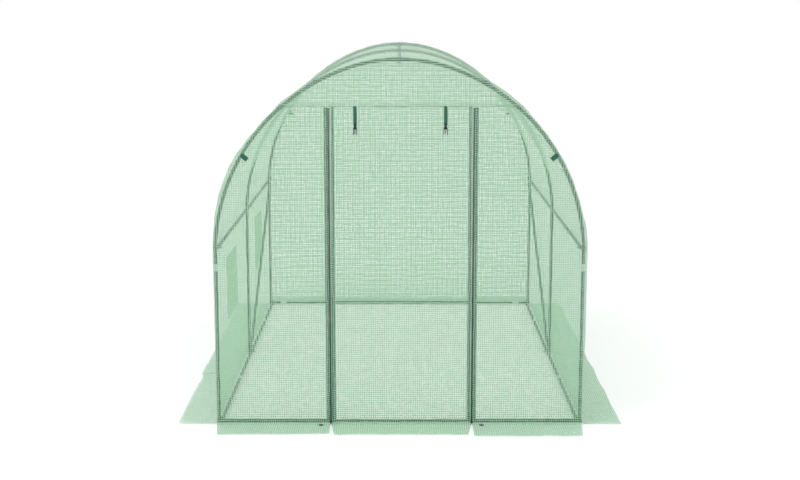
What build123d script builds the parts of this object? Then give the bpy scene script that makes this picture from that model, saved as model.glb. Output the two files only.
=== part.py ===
"""Polytunnel greenhouse: a tube frame under a film cover with a zipped door and ground skirts.

Millimetres. X runs across the tunnel, Y from the door end to the closed end, Z up.
The origin is on the ground at the middle of the tunnel.
"""

from build123d import *
import os
from math import atan2, cos, degrees, radians, sin

# Overall size of the frame
LENGTH = 3000.0  # over the two end hoops
WIDTH = 2000.0  # over the hoop legs
HEIGHT = 2000.0  # from the ground to the top of the hoops

# Steel tube, and how its ends are flattened and bolted
TUBE = 19.0
TUBE_WALL = 0.8
TONGUE = 2 * TUBE_WALL  # the tube flattened onto itself
TONGUE_WIDTH = 26.0
TONGUE_LENGTH = 22.0  # from the bolt to the start of the round
FLARE = 25.0  # where the flat opens out to the round tube
SEAT = 0.2  # clearance between parts bolted together
BOLT = 6.0
BOLT_HOLE = BOLT + 0.4
BOLT_HEAD = 14.0
BOLT_HEAD_HEIGHT = 2.8
BOLT_REACH = 28.0  # how far a bolt stands out inside the hoop
NUT = 5.6  # half the width across the corners
NUT_HEIGHT = 5.0
WASHER = 18.0

# Hoops: two legs with a slight bend at the springing that carry on round the shoulder, and
# a top that plugs into them. The shoulders' arcs are flatter than the crown's.
BEND_R = 60.0
BEND = 3.3  # degrees the leg is bent in at the springing
SHOULDER_FLATNESS = 1.0737  # the shoulder arc's radius beside half the hoop's width
CROWN_START = 70.9  # degrees up the shoulder's arc
JOINT_ANGLE = 40.0  # degrees up the shoulder's arc
PLUG_LENGTH = 45.0
PLUG_CLEARANCE = 0.2

# Rails and braces
SIDE_RAIL_DROP = 15.0  # below the springing of the arc
GROUND_RAIL = 16.0  # height of the ground rails' middle
BRACE_FOOT = 52.0

# White ties on the tubes
TIE_LENGTH = 43.0
TIE_WALL = 1.0
TIE_GAP = 0.3
LEG_TIE_DROP = 108.0  # below the side rail
RAIL_TIE_ALONG = 835.0  # from the hoop in front
BACK_TIE_INSET = 75.0  # from the leg

# Film cover, drawn thicker than the real film
FILM = 2.0
LAP = 0.3  # between sheets that lie on each other
COVER_GAP = BOLT_HEAD_HEIGHT + SEAT / 2 + 2 * LAP  # the bolt heads hold the film off the tubes
SKIRT_SIDE = 230.0
SKIRT_END = 215.0
SKIRT_NOTCH = 28.0

# Door in the front wall
DOOR_WIDTH = 772.0  # between the zips
DOOR_SHIFT = 10.0  # middle of the door, right of the tunnel's middle
DOOR_DROP = 258.0  # top of the door below the top of the hoops
ZIP_TAPE = 54.0
ZIP_TAPE_THICK = 1.4
ZIP_COIL = 8.0
ZIP_PROUD = 1.5
SLIDER_WIDTH = 13.0
SLIDER_HEIGHT = 24.0
SLIDER_PROUD = 7.0

# Roll-up straps over the door, and their buckles
STRAP_SPACING = 480.0
STRAP_SHIFT = 4.0  # middle of the pair, right of the tunnel's middle
STRAP_WIDTH = 18.0
STRAP_THICK = 1.5
STRAP_LENGTH = 93.0
BUCKLE_WIDTH = 24.0
BUCKLE_BODY = 25.0
BUCKLE_PRONGS = 32.0
BUCKLE_PRONG = 4.5
BUCKLE_THICK = 8.0

# Windows in the left wall, one a bay
WINDOW_WIDTH = 410.0
WINDOW_HEIGHT = 340.0
WINDOW_MARGIN = 15.0  # how far the screen and the flap lap the wall
WINDOW_DROP = 160.0  # top of the flap below the side rail

# Webbing loops on the end walls, and eyelets in the front skirt
LOOP_ANGLE = 30.0  # degrees up the arc from the springing
LOOP_TURN = 12.0  # degrees the loop's length is turned down from the radius
LOOP_INSET = 48.0  # middle of the loop in from the outside of the hoop
LOOP_LENGTH = 42.0
LOOP_WIDTH = 26.0
LOOP_THICK = 1.5
EYELET_HOLE = 10.0
EYELET_BARREL = EYELET_HOLE + 4.0
EYELET_OUTER = EYELET_BARREL + 12.0
EYELET_FLANGE = 1.5
EYELET_FROM_ZIP = 54.0
EYELET_FROM_WALL = 18.0

# Lines that several pieces share
HOOP_R = WIDTH / 2 - TUBE / 2
LEG = HEIGHT - WIDTH / 2
SHOULDER_R = SHOULDER_FLATNESS * HOOP_R
SHOULDER_X = HOOP_R - BEND_R + (BEND_R - SHOULDER_R) * cos(radians(BEND))
CROWN_R = SHOULDER_R + SHOULDER_X / cos(radians(CROWN_START))
CROWN_Z = LEG + HOOP_R - CROWN_R
SHOULDER_Z = CROWN_Z + (CROWN_R - SHOULDER_R) * sin(radians(CROWN_START))
BEND_Z = SHOULDER_Z + (SHOULDER_R - BEND_R) * sin(radians(BEND))
HOOP_Y = {"front": -(LENGTH - TUBE) / 2, "middle": 0.0, "back": (LENGTH - TUBE) / 2}
BAY = (LENGTH - TUBE) / 2
SIDE_RAIL = LEG - SIDE_RAIL_DROP
BRACE_RUN = Vector(0, BAY, SIDE_RAIL - BRACE_FOOT)  # its head shares the side rail's rear bolt
BRACE_TILT = degrees(atan2(BRACE_RUN.Z, BRACE_RUN.Y))
SHARED_TONGUE = (TONGUE_WIDTH / 2 + SEAT) / sin(radians(BRACE_TILT / 2))  # to where the two tubes part
INNER_FACE = WIDTH / 2 - TUBE
LAYER = TONGUE + SEAT  # one bolted tongue and its clearance
COVER_IN = WIDTH / 2 + COVER_GAP
COVER_OUT = COVER_IN + FILM
END_IN = LENGTH / 2 + COVER_GAP
END_OUT = END_IN + FILM
DOOR_TOP = HEIGHT - DOOR_DROP
SLOT = ZIP_COIL / 2 + LAP
WINDOW_TOP = SIDE_RAIL - WINDOW_DROP - WINDOW_MARGIN
WINDOW_MIDDLES = (-BAY / 2, BAY / 2)
SIDES = {"left": -1, "right": 1}

# The hoop's arcs on its right side, each its middle's x and z and its radius
BEND_ARC = (HOOP_R - BEND_R, BEND_Z, BEND_R)
SHOULDER_ARC = (SHOULDER_X, SHOULDER_Z, SHOULDER_R)
CROWN_ARC = (0, CROWN_Z, CROWN_R)

os.makedirs("parts", exist_ok=True)


def save(name, *pieces):
    """Write one node, either a single solid or several that don't touch."""
    solids = [solid for piece in pieces for solid in piece.solids()]
    export_step(solids[0] if len(solids) == 1 else Compound(children=solids), f"parts/{name}.step")


def block(low, high):
    """A box from its lowest corner to its highest."""
    size = [b - a for a, b in zip(low, high)]
    middle = [(a + b) / 2 for a, b in zip(low, high)]
    return Pos(*middle) * Box(*size)


def rod(start, end, radius):
    """A round bar between two points."""
    run = Vector(end) - Vector(start)
    return extrude(Plane(origin=start, z_dir=run) * Circle(radius), amount=run.length)


def pipe(start, end, outer=TUBE / 2, inner=TUBE / 2 - TUBE_WALL):
    """A straight tube between two points."""
    return rod(start, end, outer) - rod(start, end, inner)


def bent_pipe(arc, outer, inner, start, end):
    """A tube bent to one of the hoop's arcs, between two angles up from its right-hand end."""
    x, z, radius = arc
    ring = Pos(radius, 0, 0) * (Circle(outer) - Circle(inner))
    hinge = Axis((0, 0, 0), (0, -1, 0))
    return Pos(x, 0, z) * revolve(ring, hinge, end - start).rotate(hinge, start)


def arched(grow, y_low, y_high):
    """A prism on the ground with the hoops' outline grown outwards."""

    def arc_edge(arc, start, end):
        x, z, radius = arc[0], arc[1], arc[2] + grow
        turns = [radians(angle) for angle in (start, (start + end) / 2, end)]
        return ThreePointArc(*[(x + radius * cos(turn), z + radius * sin(turn)) for turn in turns])

    half = HOOP_R + grow
    edges = [Line((half, 0), (half, BEND_Z)), arc_edge(BEND_ARC, 0, BEND), arc_edge(SHOULDER_ARC, BEND, CROWN_START)]
    edges += [mirror(edge, Plane.YZ) for edge in edges]
    edges += [arc_edge(CROWN_ARC, CROWN_START, 180 - CROWN_START), Line((-half, 0), (half, 0))]
    upright = Plane(origin=(0, y_high, 0), x_dir=(1, 0, 0), z_dir=(0, -1, 0))
    return extrude(upright * make_face(edges), amount=y_high - y_low)


# Bolts: dome outside the hoop, a shank through everything, and a nut inside


def bolt_holes(points):
    """Clearance holes along the bolts that pass through a hoop, each (x, z, out x, out z)."""
    return [
        rod((x - 2 * TUBE * ox, 0, z - 2 * TUBE * oz), (x + TUBE * ox, 0, z + TUBE * oz), BOLT_HOLE / 2)
        for x, z, ox, oz in points
    ]


def bolt(x, y, z, ox, oz, layers, nut=True):
    """A bolt from outside the tube whose middle is at x, y, z, through a number of tongues."""
    out = Vector(ox, 0, oz)
    middle = Vector(x, y, z)
    seat = middle + out * (TUBE / 2 + SEAT / 2)
    tip = middle - out * (TUBE / 2 + BOLT_REACH)
    body = rod(tip, seat, BOLT / 2)
    body += rod(seat, seat + out * BOLT_HEAD_HEIGHT, BOLT_HEAD / 2)
    if nut:
        face = middle - out * (TUBE / 2 + layers * LAYER + SEAT)
        hexagon = RegularPolygon(NUT, 6)
        body += extrude(Plane(origin=face, z_dir=out * -1) * hexagon, amount=NUT_HEIGHT)
    return body


# Hoops


def leg(side, hoop):
    """One side of a hoop: the straight leg and the arc up to the joint."""
    tube = pipe((HOOP_R, 0, 0), (HOOP_R, 0, BEND_Z))
    tube += bent_pipe(BEND_ARC, TUBE / 2, TUBE / 2 - TUBE_WALL, 0, BEND)
    tube += bent_pipe(SHOULDER_ARC, TUBE / 2, TUBE / 2 - TUBE_WALL, BEND, JOINT_ANGLE)
    heights = [GROUND_RAIL, SIDE_RAIL]
    if hoop == "middle":
        heights.append(BRACE_FOOT)
    for hole in bolt_holes([(HOOP_R, z, 1, 0) for z in heights]):
        tube -= hole
    if side < 0:
        tube = mirror(tube, Plane.YZ)
    return Pos(0, HOOP_Y[hoop], 0) * tube


def top(hoop):
    """The top of a hoop, with a narrowed plug at each end inside the legs."""
    bore = TUBE / 2 - TUBE_WALL
    plug = bore - PLUG_CLEARANCE
    seam = degrees(SEAT / SHOULDER_R)
    neck = degrees(2 * TUBE_WALL / SHOULDER_R)
    reach = degrees(PLUG_LENGTH / SHOULDER_R)
    start = JOINT_ANGLE + seam
    half = bent_pipe(SHOULDER_ARC, TUBE / 2, bore, start, CROWN_START)
    half += bent_pipe(SHOULDER_ARC, plug, plug - TUBE_WALL, start - reach, start + neck)
    half += bent_pipe(SHOULDER_ARC, bore, plug - TUBE_WALL, start, start + neck)
    tube = bent_pipe(CROWN_ARC, TUBE / 2, bore, CROWN_START, 180 - CROWN_START)
    tube += half
    tube += mirror(half, Plane.YZ)
    for hole in bolt_holes([(0, LEG + HOOP_R, 0, 1)]):
        tube -= hole
    return Pos(0, HOOP_Y[hoop], 0) * tube


for hoop in HOOP_Y:
    save(f"{hoop}_hoop_left", leg(-1, hoop))
    save(f"{hoop}_hoop_top", top(hoop))
    save(f"{hoop}_hoop_right", leg(1, hoop))


# Rails and braces: tubes with flattened, drilled ends


def flat_ended_tube(length, far_tongue=TONGUE_LENGTH):
    """A tube along +Y between two bolts that are length apart. The flats face along X."""
    body = pipe((0, TONGUE_LENGTH + FLARE, 0), (0, length - far_tongue - FLARE, 0))
    for place, way, tongue in ((0, 1, TONGUE_LENGTH), (length, -1, far_tongue)):
        flat = block((-TONGUE / 2, 0, -TONGUE_WIDTH / 2), (TONGUE / 2, tongue, TONGUE_WIDTH / 2))
        flat += rod((-TONGUE / 2, 0, 0), (TONGUE / 2, 0, 0), TUBE / 2)  # rounded past the bolt
        flat -= rod((-TONGUE, 0, 0), (TONGUE, 0, 0), BOLT_HOLE / 2)
        near = Plane(origin=(0, tongue, 0), x_dir=(1, 0, 0), z_dir=(0, 1, 0))
        far = Plane(origin=(0, tongue + FLARE, 0), x_dir=(1, 0, 0), z_dir=(0, 1, 0))
        flare = loft([near * Ellipse(TONGUE / 2, TONGUE_WIDTH / 2), far * Circle(TUBE / 2)])
        end = flat + flare
        if way < 0:
            end = mirror(end, Plane.XZ)
        body += Pos(0, place, 0) * end
    return body


def inside(layer):
    """Distance from the tunnel's centre line to the middle of a tongue on the hoops' inner face."""
    return INNER_FACE - SEAT - TONGUE / 2 - layer * LAYER


def rails_along(height, rear_tongue):
    """The rails of both bays on the right side. The rear one laps inside the front one."""
    front = Pos(inside(0), HOOP_Y["front"], height) * flat_ended_tube(BAY)
    rear = Pos(inside(1), HOOP_Y["middle"], height) * flat_ended_tube(BAY, rear_tongue)
    return [front, rear]


ridge_bay = Rot(0, 90, 0) * flat_ended_tube(BAY)
save(
    "ridge_rails",
    Pos(0, HOOP_Y["front"], LEG + inside(0)) * ridge_bay,
    Pos(0, HOOP_Y["middle"], LEG + inside(1)) * ridge_bay,
)

brace = Rot(BRACE_TILT, 0, 0) * flat_ended_tube(BRACE_RUN.length, SHARED_TONGUE)
brace = Pos(inside(0), 0, BRACE_FOOT) * brace

for name, side in SIDES.items():
    for label, height, tongue in (("side", SIDE_RAIL, SHARED_TONGUE), ("ground", GROUND_RAIL, TONGUE_LENGTH)):
        rails = rails_along(height, tongue)
        if side < 0:
            rails = [mirror(rail, Plane.YZ) for rail in rails]
        save(f"{name}_{label}_rails", *rails)
    save(f"{name}_brace", brace if side > 0 else mirror(brace, Plane.YZ))

for hoop, layers in (("front", 1), ("back", 2)):
    half = INNER_FACE - layers * LAYER - SEAT
    plug = BOLT_REACH + TUBE / 2
    rail = pipe((-half, 0, 0), (half, 0, 0))
    for side in (-1, 1):
        rail += pipe((side * half, 0, 0), (side * (half - plug), 0, 0), TUBE / 2, BOLT_HOLE / 2)
    save(f"{hoop}_ground_rail", Pos(0, HOOP_Y[hoop], GROUND_RAIL) * rail)


# Bolts and washers

bolts = [bolt(0, y, LEG + HOOP_R, 0, 1, 2) for y in HOOP_Y.values()]
washers = []
washer = pipe((0, 0, -TONGUE / 2), (0, 0, TONGUE / 2), WASHER / 2, BOLT_HOLE / 2)
for side in (-1, 1):
    for hoop, y in HOOP_Y.items():
        bolts.append(bolt(side * HOOP_R, y, SIDE_RAIL, side, 0, 1 if hoop == "front" else 2))
        bolts.append(bolt(side * HOOP_R, y, GROUND_RAIL, side, 0, 2, nut=hoop == "middle"))
    bolts.append(bolt(side * HOOP_R, HOOP_Y["middle"], BRACE_FOOT, side, 0, 1))
    washers.append(Pos(side * inside(0), HOOP_Y["back"], GROUND_RAIL) * (Rot(0, 90, 0) * washer))
washers.append(Pos(0, HOOP_Y["back"], LEG + inside(0)) * washer)
save("frame_bolts", *bolts)
save("frame_washers", *washers)


# White ties round the tubes


def tie(start, way):
    """A band round a tube, from a point along a direction."""
    end = tuple(a + TIE_LENGTH * b for a, b in zip(start, way))
    bore = TUBE / 2 + TIE_GAP
    return pipe(start, end, bore + TIE_WALL, bore)


leg_tie = SIDE_RAIL - LEG_TIE_DROP - TIE_LENGTH / 2
save("leg_ties", *[tie((side * HOOP_R, HOOP_Y["front"], leg_tie), (0, 0, 1)) for side in (-1, 1)])
rail_ties = []
for side in (-1, 1):
    for layer, hoop in enumerate(("front", "middle")):
        y = HOOP_Y[hoop] + RAIL_TIE_ALONG
        rail_ties.append(tie((side * inside(layer), y, GROUND_RAIL), (0, 1, 0)))
    x = side * (HOOP_R - BACK_TIE_INSET)
    rail_ties.append(tie((x, HOOP_Y["back"], GROUND_RAIL), (-side, 0, 0)))
save("rail_ties", *rail_ties)


# Cover over the hoops: a roof sheet between two side walls


shell = arched(COVER_OUT - HOOP_R, -END_IN, END_IN) - arched(COVER_IN - HOOP_R, -END_IN, END_IN)
save("roof_cover", shell & block((-WIDTH, -LENGTH, BEND_Z), (WIDTH, LENGTH, 2 * HEIGHT)))
save("right_wall", block((COVER_IN, -END_IN, 0), (COVER_OUT, END_IN, BEND_Z)))

left_wall = block((-COVER_OUT, -END_IN, 0), (-COVER_IN, END_IN, BEND_Z))
screens = []
flaps = []
for y in WINDOW_MIDDLES:
    low = WINDOW_TOP - WINDOW_HEIGHT
    half = WINDOW_WIDTH / 2
    lap = WINDOW_MARGIN
    left_wall -= block((-COVER_OUT - 1, y - half, low), (-COVER_IN + 1, y + half, WINDOW_TOP))
    for sheets, x in ((screens, -COVER_IN + LAP), (flaps, -COVER_OUT - LAP - FILM)):
        sheets.append(block((x, y - half - lap, low - lap), (x + FILM, y + half + lap, WINDOW_TOP + lap)))
save("left_wall", left_wall)
save("window_screens", *screens)
save("window_flaps", *flaps)


# End walls


save("back_wall", arched(COVER_OUT - HOOP_R, END_IN, END_OUT))
front = arched(COVER_OUT - HOOP_R, -END_OUT, -END_IN)
far = 2 * max(WIDTH, HEIGHT)
save("front_top_panel", front & block((-far, -END_OUT, DOOR_TOP), (far, -END_IN, far)))
for name, side in SIDES.items():
    edge = DOOR_SHIFT + side * (DOOR_WIDTH / 2 + SLOT)
    low = min(edge, side * far)
    high = max(edge, side * far)
    save(f"front_{name}_panel", front & block((low, -END_OUT, 0), (high, -END_IN, DOOR_TOP)))
door_edge = DOOR_WIDTH / 2 - SLOT
door = block((-door_edge, -END_OUT, 0), (door_edge, -END_IN, DOOR_TOP))
save("door_panel", Pos(DOOR_SHIFT, 0, 0) * door)


# Door zips: tape behind the film, coil in the slot, slider pulled down to the ground

tape_back = -END_IN + LAP + ZIP_TAPE_THICK
for name, side in SIDES.items():
    zip_x = DOOR_SHIFT + side * DOOR_WIDTH / 2
    strip = block((zip_x - ZIP_TAPE / 2, -END_IN + LAP, 0), (zip_x + ZIP_TAPE / 2, tape_back, DOOR_TOP))
    strip += block(
        (zip_x - ZIP_COIL / 2, -END_OUT - ZIP_PROUD, FILM + LAP),
        (zip_x + ZIP_COIL / 2, -END_IN + LAP, DOOR_TOP - LAP),
    )
    strip += block(
        (zip_x - SLIDER_WIDTH / 2, -END_OUT - SLIDER_PROUD, FILM + LAP),
        (zip_x + SLIDER_WIDTH / 2, -END_OUT - LAP, FILM + LAP + SLIDER_HEIGHT),
    )
    save(f"{name}_door_zip", strip)


# Roll-up straps and buckles, hanging from the seam over the door

strap_face = -END_OUT - LAP
straps = []
buckles = []
for side in (-1, 1):
    x = STRAP_SHIFT + side * STRAP_SPACING / 2
    foot = DOOR_TOP - STRAP_LENGTH
    straps.append(
        block((x - STRAP_WIDTH / 2, strap_face - STRAP_THICK, foot), (x + STRAP_WIDTH / 2, strap_face, DOOR_TOP))
    )
    body_low = foot - LAP - BUCKLE_BODY
    buckle = block(
        (x - BUCKLE_WIDTH / 2, strap_face - BUCKLE_THICK, body_low),
        (x + BUCKLE_WIDTH / 2, strap_face, body_low + BUCKLE_BODY),
    )
    for prong in (-1, 1):
        outer = x + prong * (BUCKLE_WIDTH - BUCKLE_PRONG) / 2
        buckle += block(
            (outer - BUCKLE_PRONG / 2, strap_face - BUCKLE_THICK, body_low - BUCKLE_PRONGS),
            (outer + BUCKLE_PRONG / 2, strap_face, body_low),
        )
    buckles.append(buckle)
save("door_straps", *straps)
save("strap_buckles", *buckles)


# Webbing loops at the shoulders of the end walls

loop_r = WIDTH / 2 - LOOP_INSET
for name, way in (("front", -1), ("back", 1)):
    near = END_OUT + LAP
    loops = []
    for side in (-1, 1):
        tab = Box(LOOP_LENGTH, LOOP_THICK, LOOP_WIDTH)
        tab = Rot(0, -LOOP_ANGLE - LOOP_TURN, 0) * tab
        tab = Pos(loop_r * cos(radians(LOOP_ANGLE)), 0, LEG + loop_r * sin(radians(LOOP_ANGLE))) * tab
        tab = tab if side > 0 else mirror(tab, Plane.YZ)
        loops.append(Pos(0, way * (near + LOOP_THICK / 2), 0) * tab)
    save(f"{name}_guy_loops", *loops)


# Skirts on the ground, and the eyelets beside the zips

for name, side in SIDES.items():
    low = min(side * COVER_OUT, side * (COVER_OUT + SKIRT_SIDE))
    save(f"{name}_skirt", block((low, -END_OUT, 0), (low + SKIRT_SIDE, END_OUT, FILM)))
save("back_skirt", block((-COVER_OUT, END_OUT, 0), (COVER_OUT, END_OUT + SKIRT_END, FILM)))

eyelets = []
for name, side in SIDES.items():
    inner = DOOR_SHIFT + side * (DOOR_WIDTH / 2 + LAP)
    low, high = sorted((inner, side * COVER_OUT))
    flap = block((low, -END_OUT - SKIRT_END, 0), (high, -END_OUT, FILM))
    x = DOOR_SHIFT + side * (DOOR_WIDTH / 2 + EYELET_FROM_ZIP)
    y = -END_OUT - EYELET_FROM_WALL
    flap -= rod((x, y, -1), (x, y, FILM + 1), EYELET_BARREL / 2 + SEAT)
    save(f"front_{name}_skirt", flap)
    ring = rod((x, y, 0), (x, y, FILM + SEAT + EYELET_FLANGE), EYELET_BARREL / 2)
    ring += rod((x, y, FILM + SEAT), (x, y, FILM + SEAT + EYELET_FLANGE), EYELET_OUTER / 2)
    ring -= rod((x, y, -1), (x, y, FILM + SEAT + EYELET_FLANGE + 1), EYELET_HOLE / 2)
    eyelets.append(ring)
save("skirt_eyelets", *eyelets)

half = DOOR_WIDTH / 2 - LAP
outline = Polyline(
    (-half, -END_OUT),
    (half, -END_OUT),
    (half - SKIRT_NOTCH, -END_OUT - SKIRT_END),
    (-half + SKIRT_NOTCH, -END_OUT - SKIRT_END),
    close=True,
)
save("front_middle_skirt", Pos(DOOR_SHIFT, 0, 0) * extrude(make_face(outline), amount=FILM))
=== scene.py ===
"""Polytunnel greenhouse: a bolted tube frame under a reinforced film cover.

Metres. X runs across the tunnel, Y from the door end to the closed end, Z up.
"""

import bpy
import numpy as np
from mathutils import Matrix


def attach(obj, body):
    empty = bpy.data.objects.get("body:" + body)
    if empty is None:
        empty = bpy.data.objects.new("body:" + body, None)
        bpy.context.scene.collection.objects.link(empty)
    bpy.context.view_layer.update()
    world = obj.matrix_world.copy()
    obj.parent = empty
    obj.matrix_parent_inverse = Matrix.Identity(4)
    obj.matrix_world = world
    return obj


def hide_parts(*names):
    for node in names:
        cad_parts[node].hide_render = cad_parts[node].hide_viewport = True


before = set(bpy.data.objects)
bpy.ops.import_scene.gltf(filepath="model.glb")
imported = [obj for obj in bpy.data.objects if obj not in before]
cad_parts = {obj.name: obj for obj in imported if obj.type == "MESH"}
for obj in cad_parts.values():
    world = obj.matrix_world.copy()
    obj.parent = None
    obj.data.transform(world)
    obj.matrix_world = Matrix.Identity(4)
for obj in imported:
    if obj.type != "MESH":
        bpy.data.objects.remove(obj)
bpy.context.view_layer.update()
scene = bpy.context.scene
scene.view_settings.view_transform = "Standard"


# Camera, floor and light
# The tunnel stands on a plain white studio floor under an even white sky, with a large soft
# lamp high on the left and a weaker one on the right. The camera looks in over the door from
# a little above the ridge.

LOOKS_DOWN = 9.943  # degrees below level


def new_object(name, data):
    """A new object of the scene that holds data."""
    made = bpy.data.objects.new(name, data)
    scene.collection.objects.link(made)
    return made


camera = new_object("camera", bpy.data.cameras.new("camera"))
camera.data.lens = 59.545
camera.data.shift_x = 0.0007
camera.data.clip_end = 200.0
camera.location = (0.0, -8.5006, 2.2559)
camera.rotation_euler = (np.radians(90.0 - LOOKS_DOWN), 0.0, 0.0)
scene.camera = camera


def node(tree, kind, inputs=None, **settings):
    """Adds a shader node. inputs are its sockets' values or links, settings its properties."""
    new = tree.nodes.new("ShaderNode" + kind)
    for name, value in settings.items():
        setattr(new, name, value)
    for name, value in (inputs or {}).items():
        if isinstance(value, bpy.types.NodeSocket):
            tree.links.new(value, new.inputs[name])
        else:
            new.inputs[name].default_value = value
    return new


def maths(tree, operation, first, second=0.0, third=0.0, clamp=False):
    """One Math node's result."""
    inputs = {0: first, 1: second, 2: third}
    return node(tree, "Math", inputs, operation=operation, use_clamp=clamp).outputs[0]


def material(name):
    """A new empty material and its node tree."""
    new = bpy.data.materials.new(name)
    new.use_nodes = True
    new.node_tree.nodes.clear()
    return new, new.node_tree


def seen_white(tree):
    """1 for rays from the camera, from gloss and through glass, 0 for the light's own rays."""
    path = node(tree, "LightPath")
    seen = maths(tree, "MAXIMUM", path.outputs["Is Camera Ray"], path.outputs["Is Glossy Ray"])
    return maths(tree, "MAXIMUM", seen, path.outputs["Is Transmission Ray"])


FLOOR_WHITE = 0.80
FLOOR_HALF = 40.0
FLOOR_DROP = 0.0005  # keeps the floor just clear of what stands on it

scene.world = bpy.data.worlds.new("studio")
scene.world.use_nodes = True
tree = scene.world.node_tree
tree.nodes.clear()
sky = node(tree, "Background", {"Color": (1, 1, 1, 1), "Strength": 1.0})
node(tree, "OutputWorld", {"Surface": sky.outputs[0]})

floor_material, tree = material("studio_floor")
white = (FLOOR_WHITE, FLOOR_WHITE, FLOOR_WHITE, 1)
matt = node(tree, "BsdfDiffuse", {"Color": white})
lift = maths(tree, "MULTIPLY", seen_white(tree), 1.0 - FLOOR_WHITE)
glow = node(tree, "Emission", {"Color": (1, 1, 1, 1), "Strength": lift})
floor_look = node(tree, "AddShader", {0: matt.outputs[0], 1: glow.outputs[0]})
node(tree, "OutputMaterial", {"Surface": floor_look.outputs[0]})

floor_mesh = bpy.data.meshes.new("studio_floor")
corners = np.array([(-1, -1), (1, -1), (1, 1), (-1, 1)]) * FLOOR_HALF
floor_mesh.from_pydata(np.c_[corners, np.full(4, -FLOOR_DROP)].tolist(), [], [(0, 1, 2, 3)])
floor_mesh.materials.append(floor_material)
new_object("studio_floor", floor_mesh)

for name, place, size, power in (
    ("key_lamp", (-5.5, -5.0, 7.0), 5.0, 220.0),
    ("fill_lamp", (6.0, -2.0, 5.0), 5.0, 60.0),
):
    lamp = bpy.data.lights.new(name, "AREA")
    lamp.size = size
    lamp.energy = power
    lamp_object = new_object(name, lamp)
    lamp_object.location = place
    aim = -lamp_object.location
    lamp_object.rotation_euler = aim.to_track_quat("-Z", "Y").to_euler()


# Steel frame
# Hoops, rails and braces of thin-walled tube with flattened, drilled ends, powder coated
# dark green. Their CAD solids are right as they are and only get the coating.


def group(name, sockets_in, sockets_out):
    """A new shader node group with its named inputs and outputs. Returns it and both ends."""
    tree = bpy.data.node_groups.new(name, "ShaderNodeTree")
    kinds = {"f": "NodeSocketFloat", "v": "NodeSocketVector"}
    for label, kind in sockets_in:
        tree.interface.new_socket(label, in_out="INPUT", socket_type=kinds[kind])
    for label, kind in sockets_out:
        tree.interface.new_socket(label, in_out="OUTPUT", socket_type=kinds[kind])
    start, end = tree.nodes.new("NodeGroupInput"), tree.nodes.new("NodeGroupOutput")
    return tree, start.outputs, end.inputs


def mixed(tree, share, first, second):
    """A colour between two others, given as linear (red, green, blue)."""
    inputs = {0: share, 6: (*first, 1.0), 7: (*second, 1.0)}
    return node(tree, "Mix", inputs, data_type="RGBA").outputs[2]


def ramp(tree, value, low, high, to_low=0.0, to_high=1.0):
    """value taken smoothly from low..high to another range, and held outside it."""
    inputs = {0: value, 1: low, 2: high, 3: to_low, 4: to_high}
    return node(tree, "MapRange", inputs, interpolation_type="SMOOTHSTEP").outputs[0]


def noise(tree, place, scale, detail, rough=0.5, **settings):
    """A Noise Texture node's outputs."""
    inputs = {"Vector": place, "Scale": scale, "Detail": detail, "Roughness": rough}
    return node(tree, "TexNoise", inputs, **settings).outputs


def bumped(tree, height, strength, distance):
    """The normal of a surface that height raises."""
    inputs = {"Strength": strength, "Distance": distance, "Height": height}
    return node(tree, "Bump", inputs).outputs[0]


# Grime and rub marks that the frame, its bolts and the plastic parts share.
wear, given, made = group(
    "wear",
    [("Place", "v"), ("Speck size", "f"), ("Patch size", "f")],
    [("Specks", "f"), ("Patches", "f"), ("Grain", "f")],
)
patch_scale = maths(wear, "DIVIDE", 1.0, given["Patch size"])
speck_scale = maths(wear, "DIVIDE", 1.0, given["Speck size"])
patches = noise(wear, given["Place"], patch_scale, 5.0, 0.62)[0]
specks = noise(wear, given["Place"], speck_scale, 3.0, 0.7)[0]
wear.links.new(ramp(wear, specks, 0.60, 0.72), made["Specks"])
wear.links.new(ramp(wear, patches, 0.42, 0.68), made["Patches"])
wear.links.new(specks, made["Grain"])


def worn(tree, place, speck, patch):
    """The wear group in a material. Returns its outputs."""
    inputs = {"Place": place, "Speck size": speck, "Patch size": patch}
    return node(tree, "Group", inputs, node_tree=wear).outputs


def solid_finish(name, base, marked, rough, speck, patch, grain, **fixed):
    """A painted, plated or moulded finish: from the base colour and the first roughness of
    rough to the marked colour and the second one by patch and speck, and a fine grain in the
    normal. speck and patch are the marks' sizes and grain its depth, in metres. fixed are
    constants for the shader's own sockets."""
    made, tree = material(name)
    place = node(tree, "TexCoord").outputs["Object"]
    marks = worn(tree, place, speck, patch)
    share = maths(tree, "MULTIPLY", marks["Patches"], 0.55)
    share = maths(tree, "ADD", share, maths(tree, "MULTIPLY", marks["Specks"], 0.45), clamp=True)
    paint = mixed(tree, share, base, marked)
    dull = ramp(tree, share, 0.0, 1.0, *rough)
    normal = bumped(tree, marks["Grain"], 0.35, grain)
    inputs = {"Base Color": paint, "Roughness": dull, "Normal": normal, **fixed}
    shader = node(tree, "BsdfPrincipled", inputs)
    node(tree, "OutputMaterial", {"Surface": shader.outputs[0]})
    return made


def refinish(name, finish):
    """Gives a CAD node another material in place of its own."""
    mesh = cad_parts[name].data
    mesh.materials.clear()
    mesh.materials.append(finish)


powder_coat = solid_finish(
    "green_powder_coat",
    (0.012, 0.034, 0.022),
    (0.030, 0.055, 0.040),
    rough=(0.42, 0.62),
    speck=0.0015,
    patch=0.12,
    grain=0.0004,
)
HOOP_TUBES, RAILS = [], ["ridge_rails", "front_ground_rail", "back_ground_rail"]
for hoop in ("front", "middle", "back"):
    HOOP_TUBES += [f"{hoop}_hoop_{part}" for part in ("left", "top", "right")]
for side in ("left", "right"):
    RAILS += [f"{side}_{run}" for run in ("side_rails", "ground_rails", "brace")]
for name in HOOP_TUBES + RAILS:
    refinish(name, powder_coat)


# Bolts and washers
# Dome-headed zinc-plated bolts put in from outside, with plain washers and nuts inside the
# tunnel, where the threaded ends stand clear of the tubes.

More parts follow.
